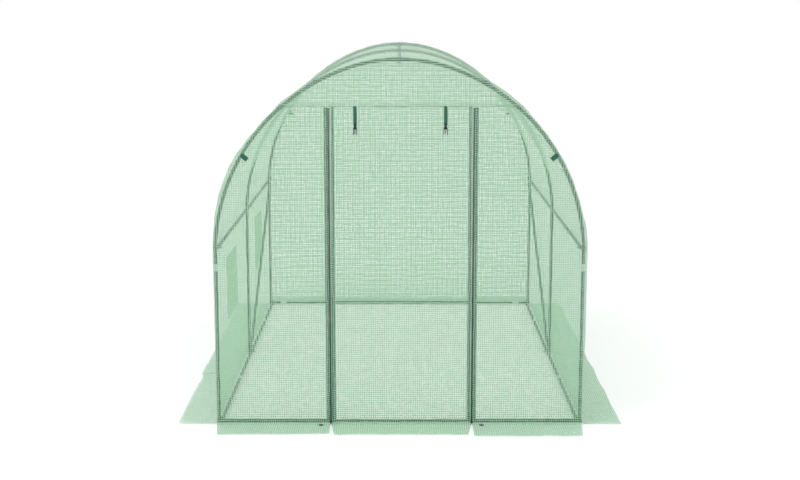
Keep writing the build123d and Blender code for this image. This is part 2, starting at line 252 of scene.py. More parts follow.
zinc = solid_finish(
    "dull_zinc",
    (0.20, 0.21, 0.21),
    (0.10, 0.11, 0.105),
    rough=(0.38, 0.6),
    speck=0.0012,
    patch=0.02,
    grain=0.0003,
    Metallic=1.0,
)
for name in ("frame_bolts", "frame_washers"):
    refinish(name, zinc)


# White ties
# Short bands of white plastic closed round the front legs and the ground rails, which hold
# the skirt's inner edge to the tubes.

white_plastic = solid_finish(
    "white_plastic",
    (0.80, 0.81, 0.79),
    (0.66, 0.67, 0.63),
    rough=(0.40, 0.58),
    speck=0.0012,
    patch=0.03,
    grain=0.0003,
)
for name in ("leg_ties", "rail_ties"):
    refinish(name, white_plastic)


# Roof and side walls
# One sheet of woven-reinforced green film laid over the three hoops and pulled down both
# sides to the ground. It sags between the hoops, most at the shoulders, and stands off the
# front one in places.

COVER_HALF = 1.0045  # middle of the film on the straight sides
COVER_OFF = 0.014  # and outside the hoops' centre line
LEG_TOP = 0.99677  # where the straight sides end
# The hoop's arcs on one side: the middle's x and z, the radius, and the degrees it covers
ARCS = (
    (0.9305, 0.99677, 0.0600, 0.0, 3.3),
    (-0.07134, 0.93900, 1.0635, 3.3, 70.9),
    (0.0, 1.14501, 0.84549, 70.9, 90.0),
)
END = 1.5045  # middle of the film at both ends
OVER_ARCS = sum((r + COVER_OFF) * np.radians(end - start) for _, _, r, start, end in ARCS)
GIRTH = 2 * (LEG_TOP + OVER_ARCS)
HOOP_Y = 1.4905
HOOPS = (-HOOP_Y, 0.0, HOOP_Y)
WINDOW_HALF = 0.205
WINDOW_LOW, WINDOW_TOP = 0.470, 0.810
WINDOWS = {"front": -HOOP_Y / 2, "back": HOOP_Y / 2}  # each one's middle
# How far the film sags at the left and the right shoulder of each bay, and where that is,
# up from the ground along the film
FRONT_BAY_SAG, BACK_BAY_SAG = (0.047, 0.050), (0.034, 0.045)
SHOULDER = (0.99, 2.02)


def hump(value, low, high, soft):
    """0 outside low..high and 1 inside, rising and falling over soft."""
    up = np.clip((value - low) / soft, 0, 1)
    down = np.clip((high - value) / soft, 0, 1)
    return up * up * (3 - 2 * up) * down * down * (3 - 2 * down)


def waves(a, b, seed, short, long, count=9):
    """Sum of count sine waves over (a, b), each with a direction, a phase and a length from
    short to long of its own, scaled to about -1..1."""
    draw = np.random.default_rng(seed)
    way = draw.uniform(0, np.pi, count)
    step = 2 * np.pi / np.exp(draw.uniform(np.log(short), np.log(long), count))
    phase = draw.uniform(0, 2 * np.pi, count)
    angle = step * (np.cos(way) * a[..., None] + np.sin(way) * b[..., None]) + phase
    return np.sin(angle).sum(-1) / np.sqrt(count) / 1.2


def stops(low, high, step, *through):
    """Places from low to high about step apart that pass exactly through the given ones."""
    ends = sorted({low, high, *[t for t in through if low < t < high]})
    runs = []
    for a, b in zip(ends, ends[1:]):
        runs.append(np.linspace(a, b, max(1, round((b - a) / step)) + 1)[:-1])
    return np.append(np.concatenate(runs), high)


def stacked(*parts):
    """Arrays of one shape side by side on a new last axis, such as points from x, y and z."""
    return np.stack(parts, -1)


def built(name, finish, points, corners, sizes, smooth, uv):
    """Makes an object from flat arrays: the points, each face's corner numbers in turn, how
    many corners each face has and whether it is smooth, and one UV a corner."""
    mesh = bpy.data.meshes.new(name)
    mesh.vertices.add(len(points) // 3)
    mesh.vertices.foreach_set("co", points)
    mesh.loops.add(len(corners))
    mesh.loops.foreach_set("vertex_index", corners)
    mesh.polygons.add(len(sizes))
    mesh.polygons.foreach_set("loop_start", np.append(0, np.cumsum(sizes)[:-1]))
    mesh.polygons.foreach_set("use_smooth", smooth)
    mesh.uv_layers.new(name="cut").data.foreach_set("uv", uv)
    mesh.update()
    if finish:
        mesh.materials.append(finish)
    made = new_object(name, mesh)
    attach(made, "root")
    return made


def put(name, finish, points, faces, uv, smooth=True):
    """Makes an object from points, faces as rows of corner numbers, and one UV a point. Points
    in the same place become one, and a face loses the corners that this joins."""
    _, first, same = np.unique(np.round(points, 6), axis=0, return_index=True, return_inverse=True)
    joined = same.reshape(-1)[faces]
    corner = joined != np.roll(joined, 1, axis=1)
    whole = corner.sum(1) > 2
    joined, corner, faces = joined[whole], corner[whole], faces[whole]
    used, joined = np.unique(joined[corner], return_inverse=True)
    places, soft = points[first[used]].ravel(), np.full(len(faces), smooth)
    sizes, corner_uv = corner.sum(1), uv[faces[corner]].ravel()
    return built(name, finish, places, joined.ravel(), sizes, soft, corner_uv)


def grid_faces(rows, columns, keep=None):
    """Four-sided faces of a grid of rows by columns points, less those that keep leaves out."""
    at = np.arange(rows * columns).reshape(rows, columns)
    faces = stacked(at[:-1, :-1], at[:-1, 1:], at[1:, 1:], at[1:, :-1])
    return faces.reshape(-1, 4) if keep is None else faces[keep]


def sheet(name, finish, points, uv, keep=None):
    """An object from a grid of points (rows, columns, 3) and the same grid's UV in metres."""
    faces = grid_faces(*points.shape[:2], keep)
    return put(name, finish, points.reshape(-1, 3), faces, uv.reshape(-1, 2))


def cover_line(girth):
    """The tunnel's section: straight up the left, over the hoop's arcs, straight down the
    right. Returns the point (x, z) and the way out (x, z) at each distance along it."""
    side = np.where(girth < GIRTH / 2, -1.0, 1.0)
    run = np.minimum(girth, GIRTH - girth)
    x, z = np.full_like(run, COVER_HALF), run
    out_x, out_z = np.ones_like(run), np.zeros_like(run)
    start_run = LEG_TOP
    for middle_x, middle_z, arc_r, start, end in ARCS:
        radius = arc_r + COVER_OFF
        turn = np.radians(start) + (run - start_run) / radius
        on = run > start_run
        x = np.where(on, middle_x + radius * np.cos(turn), x)
        z = np.where(on, middle_z + radius * np.sin(turn), z)
        out_x, out_z = np.where(on, np.cos(turn), out_x), np.where(on, np.sin(turn), out_z)
        start_run += radius * np.radians(end - start)
    return side * x, z, side * out_x, out_z


def front_stand_off(girth):
    """How far the cover stands off the front hoop: most at the left shoulder, some at the
    right wall and high on the right, none at the ground."""
    right = GIRTH - girth
    out = 0.012 * hump(girth, 1.05, 1.70, 0.25) + 0.005 * hump(girth, 1.78, 2.02, 0.10)
    return out + 0.008 * hump(right, 0.28, 1.24, 0.20) + 0.009 * hump(right, 1.72, 2.15, 0.16)


def cover_out(girth, y):
    """How far the cover stands out from its true section: sag between the hoops, deep at the
    shoulders from the side rail up, slow waves, gathers along both end seams, and the loose
    front edge."""
    bay = np.abs(y) / HOOP_Y
    between = 1 - (2 * bay - 1) ** 2
    up = np.minimum(girth, GIRTH - girth)
    off_ground = hump(girth, 0.12, GIRTH - 0.12, 0.25)
    out = -0.005 * between * off_ground
    right = (girth > GIRTH / 2).astype(int)
    deep = np.where(y < 0, np.take(FRONT_BAY_SAG, right), np.take(BACK_BAY_SAG, right))
    out -= deep * np.clip(between, 0, 1) * hump(up, *SHOULDER, 0.42)
    out += 0.0035 * waves(girth, y, 3, 0.35, 1.1) * between * off_ground
    from_front, from_back = y + END, END - y
    tight = 1 - 0.8 * np.exp(-((from_front / 0.15) ** 2)) * hump(up, 0.0, 1.0, 0.15)
    out += 0.0012 * waves(girth, y, 4, 0.10, 0.28) * off_ground * tight
    gathers = np.sin(girth * 62 + 2.2 * np.sin(girth * 9)) * off_ground * tight
    out += 0.0012 * gathers * (np.exp(-from_front / 0.09) + np.exp(-from_back / 0.09))
    out -= 0.0014 * (1 - tight)
    return out + front_stand_off(girth) * np.exp(-((from_front / 0.42) ** 2))


def vector_maths(tree, operation, first, second):
    """One Vector Math node's vector result."""
    inputs = {0: first, (3 if operation == "SCALE" else 1): second}
    return node(tree, "VectorMath", inputs, operation=operation).outputs[0]


def vector(tree, x, y):
    """A vector from its x and y."""
    return node(tree, "CombineXYZ", {0: x, 1: y}).outputs[0]


# Two sets of parallel threads, the distance to the nearest one of each in pitches against
# half its width. The width changes from thread to thread and along each of them, and the
# cells between them are thicker or thinner film at random.
threads, given, made = group(
    "threads",
    [("Cut", "v"), ("Pitch", "f"), ("Long", "f"), ("Cross", "f"), ("Wander", "f")],
    [("Threads", "f"), ("Cells", "f")],
)
SLUB = 3.5  # length of a thick or thin stretch of thread, in pitches
SLUB_STEP = 7.3  # sets each thread's slubs apart from its neighbours'
drift = noise(threads, given["Cut"], 11.0, 2.0)["Color"]
drift = vector_maths(threads, "SUBTRACT", drift, (0.5, 0.5, 0.5))
drift = vector_maths(threads, "SCALE", drift, given["Wander"])
bent = vector_maths(threads, "ADD", given["Cut"], drift)
axes = node(threads, "SeparateXYZ", {0: bent}).outputs
sets, cell = [], []
for axis, size in ((0, "Cross"), (1, "Long")):
    count = maths(threads, "DIVIDE", axes[axis], given["Pitch"])
    number = maths(threads, "ROUND", count)
    off = maths(threads, "ABSOLUTE", maths(threads, "SUBTRACT", count, number))
    luck = node(threads, "TexWhiteNoise", {"W": number}, noise_dimensions="1D").outputs[0]
    along = maths(threads, "DIVIDE", axes[1 - axis], maths(threads, "MULTIPLY", given["Pitch"], SLUB))
    place = vector(threads, along, maths(threads, "MULTIPLY", number, SLUB_STEP))
    slub = noise(threads, place, 1.0, 1.0, noise_dimensions="2D")[0]
    share = maths(threads, "MULTIPLY_ADD", luck, 0.16, ramp(threads, slub, 0.3, 0.7, 0.68, 1.15))
    wide = maths(threads, "DIVIDE", given[size], given["Pitch"])
    wide = maths(threads, "MULTIPLY", wide, maths(threads, "MULTIPLY", share, 0.5))
    solid, gone = (maths(threads, "MULTIPLY", wide, edge) for edge in (0.8, 1.25))
    sets.append(ramp(threads, off, solid, gone, 1.0, 0.0))
    cell.append(maths(threads, "FLOOR", count))
spot = vector(threads, *cell)
thick = node(threads, "TexWhiteNoise", {"Vector": spot}, noise_dimensions="2D")
threads.links.new(maths(threads, "MAXIMUM", *sets), made["Threads"])
threads.links.new(thick.outputs[0], made["Cells"])

# Slow clouding of the film, and the fine creases left from folding and handling.
crinkle, given, made = group("crinkle", [("Cut", "v")], [("Height", "f"), ("Haze", "f")])
haze = noise(crinkle, given["Cut"], 3.2, 4.0)[0]
creases = noise(crinkle, given["Cut"], 5.0, 3.0, noise_type="RIDGED_MULTIFRACTAL")[0]
crinkle.links.new(maths(crinkle, "SUBTRACT", haze, 0.5), made["Haze"])
crinkle.links.new(creases, made["Height"])

THREAD_PITCH = 0.012
THREAD_RELIEF = 0.004  # thread thickness beside the pitch, which closes the weave at a low angle
FILM_GREEN = (0.500, 0.778, 0.562)
THREAD_GREEN = tuple(0.82 * value for value in FILM_GREEN)
UNEVEN = 0.12  # how much the film's clouds and its cells change the light it stops
GLOW = 0.28  # share of what it stops that comes through


def film(name, clear, thread, long=0.0041, cross=0.0036, pitch=THREAD_PITCH):
    """Thin reinforced film. clear and thread are how much of the light each stops, long and
    cross the two sets of threads' widths. What it stops it mostly scatters back and partly
    lets through as a glow. At a low angle its threads hide more."""
    made, tree = material(name)
    cut = node(tree, "UVMap", uv_map="cut").outputs[0]
    inputs = {"Cut": cut, "Pitch": pitch, "Long": long, "Cross": cross, "Wander": 0.9 * pitch}
    weave = node(tree, "Group", inputs, node_tree=threads).outputs
    creased = node(tree, "Group", {"Cut": cut}, node_tree=crinkle).outputs
    stopped = maths(tree, "MULTIPLY_ADD", creased["Haze"], UNEVEN, clear)
    cells = maths(tree, "SUBTRACT", weave["Cells"], 0.5)
    stopped = maths(tree, "MULTIPLY_ADD", cells, UNEVEN, stopped, clamp=True)
    stopped = maths(tree, "MAXIMUM", stopped, maths(tree, "MULTIPLY", weave["Threads"], thread))
    passed = maths(tree, "SUBTRACT", 1.0, stopped, clamp=True)
    facing = node(tree, "LayerWeight", {"Blend": 0.5}).outputs["Facing"]
    slope = maths(tree, "MAXIMUM", maths(tree, "SUBTRACT", 1.0, facing), 0.01)
    hidden = maths(tree, "ADD", maths(tree, "DIVIDE", -THREAD_RELIEF, slope), THREAD_RELIEF)
    passed = maths(tree, "MULTIPLY", passed, maths(tree, "EXPONENT", hidden))
    dye = mixed(tree, weave["Threads"], FILM_GREEN, THREAD_GREEN)
    relief = maths(tree, "MULTIPLY", creased["Height"], 0.0006)
    relief = maths(tree, "MULTIPLY_ADD", weave["Threads"], 0.0002, relief)
    normal = bumped(tree, relief, 0.5, 1.0)
    skin = {"Base Color": dye, "Roughness": 0.40, "Specular IOR Level": 0.3, "Normal": normal}
    front = node(tree, "BsdfPrincipled", skin).outputs[0]
    back = node(tree, "BsdfTranslucent", {"Color": dye, "Normal": normal}).outputs[0]
    scatter = node(tree, "MixShader", {0: GLOW, 1: front, 2: back}).outputs[0]
    clear_part = node(tree, "BsdfTransparent", {"Color": (1, 1, 1, 1)}).outputs[0]
    whole = node(tree, "MixShader", {0: passed, 1: scatter, 2: clear_part})
    node(tree, "OutputMaterial", {"Surface": whole.outputs[0]})
    return made


cover_film = film("cover_film", 0.09, 0.98)

window_ends = [middle + way * WINDOW_HALF for middle in WINDOWS.values() for way in (-1, 1)]
girth = stops(0.0, GIRTH, 0.022, WINDOW_LOW, WINDOW_TOP, LEG_TOP, GIRTH - LEG_TOP)
along = stops(-END, END, 0.024, *window_ends, *HOOPS)
G, Y = np.meshgrid(girth, along, indexing="ij")
x, z, out_x, out_z = cover_line(G)
out = cover_out(G, Y)
points = stacked(x + out * out_x, Y, z + out * out_z)
g_mid, y_mid = (girth[1:] + girth[:-1]) / 2, (along[1:] + along[:-1]) / 2
in_height = (g_mid > WINDOW_LOW) & (g_mid < WINDOW_TOP)
in_width = np.any([np.abs(y_mid - middle) < WINDOW_HALF for middle in WINDOWS.values()], axis=0)
hole = in_height[:, None] & in_width[None, :]
cover = sheet("tunnel_cover", cover_film, points, stacked(Y, G), ~hole)
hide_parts("roof_cover", "left_wall", "right_wall")


# Back wall
# A single panel of the same film sewn to the cover all round the back hoop, with gathers
# along the seam and slow waves over the rest.


def seam_x(side, z, y):
    """Where the cover's edge at one end of the tunnel, left (-1) or right (1), is at height z:
    read off the edge's own line of points."""
    line = np.linspace(0, GIRTH / 2, 4001)
    line = line if side < 0 else GIRTH - line
    x, height, out_x, out_z = cover_line(line)
    out = cover_out(line, np.full_like(line, y))
    return np.interp(z, np.maximum.accumulate(height + out * out_z), x + out * out_x)


def seam_distance(x, z):
    """Distance in from an end wall's curved edge: from the straight side, or from the hoop's
    arc that faces the point."""
    wide = np.abs(x)
    inside = COVER_HALF - wide
    for middle_x, middle_z, arc_r, start, _ in ARCS[1:]:
        past = (z > LEG_TOP) & (z - middle_z > (wide - middle_x) * np.tan(np.radians(start)))
        inside = np.where(past, arc_r + COVER_OFF - np.hypot(wide - middle_x, z - middle_z), inside)
    return inside


def end_waves(x, z, seed):
    """How far an end wall stands out from its plane, none at the seam: slow waves, small
    ripples, and gathers that run in from the seam."""
    inside = seam_distance(x, z)
    free = np.clip(inside / 0.22, 0, 1)
    low = np.clip(z / 0.25, 0, 1)
    turn = np.arctan2(z - LEG_TOP, x)
    gathers = np.sin(turn * 46 + 3 * np.sin(turn * 5)) * np.exp(-inside / 0.10)
    gathers = gathers * np.clip(inside / 0.02, 0, 1)
    out = 0.006 * waves(x, z, seed, 0.45, 1.3) * free * low
    out += 0.0014 * waves(x, z, seed + 1, 0.09, 0.26) * np.clip(inside / 0.05, 0, 1) * low
    return out + 0.0016 * gathers


def wall_edges(low, y):
    """An end wall's rows from the height low up to its apex, about even along its edge, and
    where each row meets the seam on the left and on the right."""
    middle = np.array([GIRTH / 2])
    apex = cover_line(middle)[1] + cover_out(middle, np.array([y]))
    height = cover_line(np.linspace(0, GIRTH / 2, 100))[1]
    between = (height > low + 0.008) & (height < apex - 0.0005)
    rows = np.concatenate([[low], height[between], apex])
    left, right = (seam_x(side, rows, y) for side in (-1, 1))
    left[-1] = right[-1] = 0.0
    return rows, left, right


def ruled(rows, left, right, count):
    """A grid whose rows run level from left to right, count points a row."""
    Z, U = np.meshgrid(rows, np.linspace(0, 1, count), indexing="ij")
    return left[:, None] + U * (right - left)[:, None], Z


BACK_WAVES = 21
rows, left, right = wall_edges(0.0, END)
X, Z = ruled(rows, left, right, 84)
points = stacked(X, END + end_waves(X, Z, BACK_WAVES), Z)
back_wall = sheet("back_film", cover_film, points[:, ::-1], stacked(X, Z)[:, ::-1])
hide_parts("back_wall")


# Front wall: the panel over the door
# The half moon of film above the door. Its lower edge is turned up behind itself as a hem,
# and the side panels and the door are sewn in behind that.

DOOR_TOP = 1.742
HEM, HEM_EDGE = 0.015, 0.003  # how high the turned-up hem reaches, and where it starts
FOLD_GAP = 0.0012
DOOR_X = 0.010  # the door is this far right of the tunnel's middle
ZIP_X = 0.386  # zip from the door's middle
SLOT_HALF = 0.0043  # half the gap between the films' edges at a zip
FRONT_WAVES = 31
HEAD_COLUMNS = 60


def front_y(x, z):
    """The front wall's film: its plane, less how far the wall stands out towards the front."""
    return -END - end_waves(x, z, FRONT_WAVES)


rows, left, right = wall_edges(DOOR_TOP, -END)
X, Z = ruled(rows, left, right, HEAD_COLUMNS)
panel = stacked(X, front_y(X, Z), Z)
turned_up = DOOR_TOP + np.linspace(HEM, HEM_EDGE, 3)
left, right = (seam_x(side, turned_up, -END) for side in (-1, 1))
hem_X, hem_Z = ruled(turned_up, left, right, HEAD_COLUMNS)
hem = stacked(hem_X, front_y(hem_X, hem_Z) + FOLD_GAP, hem_Z)
uv = np.concatenate([stacked(hem_X, 2 * DOOR_TOP - hem_Z), stacked(X, Z)])
top_panel = sheet("door_head_film", cover_film, np.concatenate([hem, panel]), uv)
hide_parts("front_top_panel")


# Front wall: side panels and door
# Two side panels and the door between them, cut from the same film. The door's long edges
# are bound with a narrow folded strip beside each zip.


def tucked(z):
    """How far a panel's top edge is set back so that it lies behind the hem over the door."""
    share = np.clip((z - DOOR_TOP + 0.03) / 0.03, 0, 1)
    return 2.2 * FOLD_GAP * share * share * (3 - 2 * share)


SIDES = (("left", -1), ("right", 1))
TUCK = 0.003  # how far these panels go up behind the hem
TUCKED_ROWS = [DOOR_TOP + TUCK / 2, DOOR_TOP + TUCK]
CLEAR_OF_SEAM = 0.0006  # narrows the tucked part, so that it stays inside the cover
CUT_SHIFT = (0.004, 0.003)  # each panel's threads lie a little off its neighbour's

rows = np.append(stops(0.0, DOOR_TOP, 0.025, LEG_TOP), TUCKED_ROWS)
for label, side in SIDES:
    outer = seam_x(side, rows, -END) * (1 - CLEAR_OF_SEAM * (rows > DOOR_TOP))
    inner = np.full_like(rows, DOOR_X + side * (ZIP_X + SLOT_HALF))
    X, Z = ruled(rows, *((outer, inner) if side < 0 else (inner, outer)), 30)
    points = stacked(X, front_y(X, Z) + tucked(Z), Z)
    uv = stacked(X + CUT_SHIFT[0] * side, Z + CUT_SHIFT[1])
    panel = sheet(f"front_{label}_film", cover_film, points, uv)
    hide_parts(f"front_{label}_panel")

# The binding is the door's own film, folded in and back on itself: two layers along each edge
BINDING_FOOT, BINDING_TOP = 0.003, 0.0075
LAYER = 0.0007
CLOTH_EDGE = -0.39  # where the threads' pattern starts across the door, and how far it is down
CLOTH_DROP = 0.002

rows = np.append(stops(0.0, DOOR_TOP, 0.025), TUCKED_ROWS)
edge = np.full_like(rows, ZIP_X - SLOT_HALF)
fold = np.interp(rows, [0, DOOR_TOP], [BINDING_FOOT, BINDING_TOP]) - edge
X, _ = ruled(rows, DOOR_X - edge, DOOR_X + edge, 40)
folds = stacked(fold, -edge, -edge, fold)
layers = np.array([2, 2, 1, 1] + [0] * X.shape[1] + [1, 1, 2, 2])
X = np.hstack([DOOR_X + folds, X, DOOR_X - folds[:, ::-1]])
Y = front_y(X, rows[:, None]) + tucked(rows)[:, None] - LAYER * layers
Z = np.repeat(rows[:, None], X.shape[1], axis=1)
cloth = np.append(0, np.cumsum(np.abs(np.diff(X, axis=1)).mean(0))) + CLOTH_EDGE
uv = stacked(np.broadcast_to(cloth, X.shape), Z - CLOTH_DROP)
door = sheet("door_film", cover_film, stacked(X, Y, Z), uv)
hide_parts("door_panel")


# Door zips
# Coil zips from the hem over the door down to the ground, sewn behind the film on woven
# tape. Each has one slider, pulled right down, with a hanging tab.

ZIP_TOP = 1.740
TAPE_BACK = 0.0009  # behind the film
# Each half of the tape: its name, its way from the zip, how far from the zip its near edge is
# at the foot, how much farther at the top, and how far its other edge is
TAPES = (("outer", 1, 0.0042, 0.0, 0.0240), ("inner", -1, 0.0065, 0.0080, 0.0276))
TOOTH = np.array([0.0026, 0.0017, 0.0010])  # half its length, depth and height
TOOTH_PITCH, TOOTH_OFF = 0.0027, 0.0016
COIL_FOOT = 0.028


def woven(name, base, light, rib):
    """Woven tape or webbing: ribs across it and a fine twill, by its own UV in metres."""
    made, tree = material(name)
    cut = node(tree, "UVMap", uv_map="cut").outputs[0]
    axes = node(tree, "SeparateXYZ", {0: cut}).outputs
    rise = maths(tree, "SINE", maths(tree, "MULTIPLY", axes[1], 2 * np.pi / rib))
    slant = maths(tree, "ADD", axes[1], axes[0])
    twill = maths(tree, "SINE", maths(tree, "MULTIPLY", slant, 2 * np.pi / (0.7 * rib)))
    weave = maths(tree, "MULTIPLY_ADD", twill, 0.5, rise)
    share = ramp(tree, weave, -1.2, 1.3)
    marks = worn(tree, node(tree, "TexCoord").outputs["Object"], 0.0008, 0.02)
    share = maths(tree, "MULTIPLY_ADD", marks["Patches"], 0.25, share, clamp=True)
    dye = mixed(tree, share, base, light)
    dull = ramp(tree, marks["Grain"], 0.3, 0.7, 0.67, 0.85)
    normal = bumped(tree, weave, 0.6, 0.0003)
    inputs = {"Base Color": dye, "Roughness": dull, "Sheen Weight": 0.10, "Normal": normal}
    shader = node(tree, "BsdfPrincipled", inputs)
    node(tree, "OutputMaterial", {"Surface": shader.outputs[0]})
    return made


def blocks(name, finish, centres, half, flip):
    """Many small tapered blocks as one mesh, a block a centre (n, 3): corners at half (3,),
    narrower by a third towards the side that flip (n,) points to along X."""
    sign = np.array([(a, b, c) for a in (-1, 1) for b in (-1, 1) for c in (-1, 1)], float)
    corner = sign * half
    taper = np.where(sign[:, 0] > 0, 0.66, 1.0)
    corner[:, 2] *= taper
    corner[:, 1] *= 0.5 + 0.5 * taper
    turned = stacked(flip, np.ones_like(flip), np.ones_like(flip))
    points = (corner[None] * turned[:, None] + centres[:, None]).reshape(-1, 3)
    faces = [(0, 1, 3, 2), (4, 6, 7, 5), (0, 4, 5, 1), (2, 3, 7, 6), (0, 2, 6, 4), (1, 5, 7, 3)]
    faces = np.where(flip[:, None, None] > 0, faces, np.array(faces)[:, ::-1])
    faces = faces + 8 * np.arange(len(centres))[:, None, None]
    return put(name, finish, points, faces.reshape(-1, 4), points[:, [0, 2]], smooth=False)


def placed(outline, x, z):
    """An outline in millimetres, moved to (x, z) in metres."""
    return [(x + right / 1000, z + up / 1000) for right, up in outline]


def plate(name, outline, front, back, bevel):
    """A flat plate: an outline of (x, z) points, anticlockwise seen from the front, carried
    from y front to y back, with rounded edges."""
    count = len(outline)
    y = np.repeat([front, back], count)
    points = np.c_[np.tile(outline, (2, 1)), y][:, [0, 2, 1]]
    mesh = bpy.data.meshes.new(name)
    ring = np.arange(count)
    after = np.roll(ring, -1)
    sides = stacked(ring, ring + count, after + count, after).tolist()
    mesh.from_pydata(points.tolist(), [], [ring.tolist(), (ring[::-1] + count).tolist(), *sides])
    mesh.update()
    made = new_object(name, mesh)
    soft = made.modifiers.new("rounded", "BEVEL")
    soft.width, soft.segments, soft.limit_method = bevel, 2, "ANGLE"
    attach(made, "root")
    return made


def read(items, field, width, kind):
    """One field of all the items of a mesh, as a flat array."""
    values = np.empty(len(items) * width, kind)
    items.foreach_get(field, values)
    return values


def joined(name, finish, pieces):
    """Several pieces made one mesh, with their modifiers applied and their UV kept."""
    graph = bpy.context.evaluated_depsgraph_get()
    stores, start = ([], [], [], [], []), 0
    for piece in pieces:
        mesh = bpy.data.meshes.new_from_object(piece.evaluated_get(graph))
        uv = np.zeros(len(mesh.loops) * 2, np.float32)
        if mesh.uv_layers:
            uv = read(mesh.uv_layers[0].data, "uv", 2, np.float32)
        corner = read(mesh.loops, "vertex_index", 1, np.int32) + start
        size = read(mesh.polygons, "loop_total", 1, np.int32)
        soft = read(mesh.polygons, "use_smooth", 1, bool)
        point = read(mesh.vertices, "co", 3, np.float32)
        for store, part in zip(stores, (point, corner, size, soft, uv)):
            store.append(part)
        start += len(mesh.vertices)
        bpy.data.objects.remove(piece)
    return built(name, finish, *(np.concatenate(store) for store in stores))


zip_tape = woven("zip_tape", (0.010, 0.072, 0.040), (0.030, 0.135, 0.082), 0.0016)
coil_green = solid_finish(
    "zip_coil",
    (0.004, 0.026, 0.015),
    (0.014, 0.052, 0.034),
    rough=(0.50, 0.70),
    speck=0.0006,
    patch=0.01,
    grain=0.0002,
)
slider_paint = solid_finish(
    "slider_paint",
    (0.010, 0.045, 0.030),
    (0.08, 0.10, 0.09),
    rough=(0.30, 0.5),
    speck=0.0007,
    patch=0.008,
    grain=0.0002,
)

# The slider's outlines in millimetres from its zip at the ground
BODY = [(-4, 26), (-6.3, 21), (-6.3, 8), (-3.5, 3), (3.5, 3), (6.3, 8), (6.3, 21), (4, 26)]
BRIDGE = [(-1.6, 20), (-1.6, 9), (1.6, 9), (1.6, 20)]
TAB = [(-2.2, 21), (-3.2, 17), (-3.6, 5), (-2.2, 2.6), (2.2, 2.6), (3.6, 5), (3.2, 17), (2.2, 21)]

for label, side in SIDES:
    middle = DOOR_X + side * ZIP_X
    rows = stops(0.004, ZIP_TOP, 0.025)
    for half, way, near, farther, far in TAPES:
        U, Z = np.meshgrid(np.linspace(0, 1, 4), rows, indexing="ij")
        edge = near + farther * Z / ZIP_TOP
        R = edge + U * (far - edge)
        X = middle + side * way * R
        Y = front_y(X, Z) + tucked(Z) + TAPE_BACK + 0.0011 * np.exp(-((R / 0.006) ** 2))
        grid = stacked(X, Y, Z)[:: side * way].transpose(1, 0, 2)
        tape = sheet(f"{label}_zip_tape_{half}", zip_tape, grid, grid[..., [0, 2]])
        thick = tape.modifiers.new("thickness", "SOLIDIFY")
        thick.thickness, thick.offset = 0.0006, 0.0
    number = np.arange(2 * int((ZIP_TOP - 0.03) / TOOTH_PITCH))
    z = COIL_FOOT + number * TOOTH_PITCH / 2
    way = np.where(number % 2, 1.0, -1.0)
    y = front_y(np.full_like(z, middle), z) + tucked(z) - 0.0004
    teeth = stacked(middle + way * TOOTH_OFF, y, z)
    coil = blocks(f"{label}_zip_coil", coil_green, teeth, TOOTH, -way)
    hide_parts(f"{label}_door_zip")
    foot = float(front_y(np.array(middle), np.array(0.012)))
    body, bridge, tab = (placed(outline, middle, 0.0) for outline in (BODY, BRIDGE, TAB))
    slider = joined(
        f"{label}_zip_slider",
        slider_paint,
        [
            plate("slider_front", body, foot - 0.0042, foot - 0.0026, 0.0005),
            plate("slider_back", body, foot + 0.0030, foot + 0.0042, 0.0004),
            plate("slider_bridge", bridge, foot - 0.0060, foot - 0.0040, 0.0004),
            plate("slider_tab", tab, foot - 0.0072, foot - 0.0060, 0.0004),
        ],
    )


# Roll-up straps and buckles
# Two short lengths of green webbing sewn into the hem over the door, each carrying the
# pronged half of a black side-release buckle.

STRAP_X = 0.240
STRAP_SHIFT = 0.004
STRAP_HEAD, STRAP_FOOT = DOOR_TOP + 0.004, 1.649


def webbing(name, path, across, wide, thick):
    """Webbing carried along a path (n, 3): a flat rounded section, wide (n,) along the unit
    vector across and thick along the path's own normal, with both ends closed."""
    run = np.gradient(path, axis=0)
    run /= np.linalg.norm(run, axis=1, keepdims=True)
    across = np.broadcast_to(across, path.shape)
    normal = np.cross(run, across)
    turn = np.linspace(0, 2 * np.pi, 17)[:-1]
    flat = np.sign(np.cos(turn)) * np.abs(np.cos(turn)) ** 0.35
    high = np.sign(np.sin(turn)) * np.abs(np.sin(turn)) ** 0.8
    wide = np.broadcast_to(wide, len(path))
    ring = path[:, None] + 0.5 * wide[:, None, None] * flat[:, None] * across[:, None]
    ring = ring + 0.5 * thick * high[:, None] * normal[:, None]
    ends = [np.repeat(path[[e]][:, None], len(turn), 1) for e in (0, -1)]
    ring = np.concatenate([ends[0], ring, ends[1]])
    ring = np.concatenate([ring, ring[:, :1]], 1)
    length = np.append(0, np.cumsum(np.linalg.norm(np.diff(path, axis=0), axis=1)))
    length = np.concatenate([length[:1], length, length[-1:]])
    u = 0.5 * wide.max() * np.append(flat, flat[0])
    uv = stacked(*np.broadcast_arrays(u[None, :], length[:, None]))
    return sheet(name, None, ring, uv)


def mirrored(outline):
    """An outline's mirror image about x = 0, with its points in the order that continues it."""
    return [(-x, z) for x, z in outline[::-1]]


STRAP_GREENS = ((0.009, 0.088, 0.048), (0.030, 0.155, 0.092))
strap_weave = woven("strap_webbing", *STRAP_GREENS, 0.0020)
black_plastic = solid_finish(
    "black_plastic",
    (0.008, 0.009, 0.009),
    (0.022, 0.024, 0.023),
    rough=(0.45, 0.62),
    speck=0.0007,
    patch=0.012,
    grain=0.0002,
)
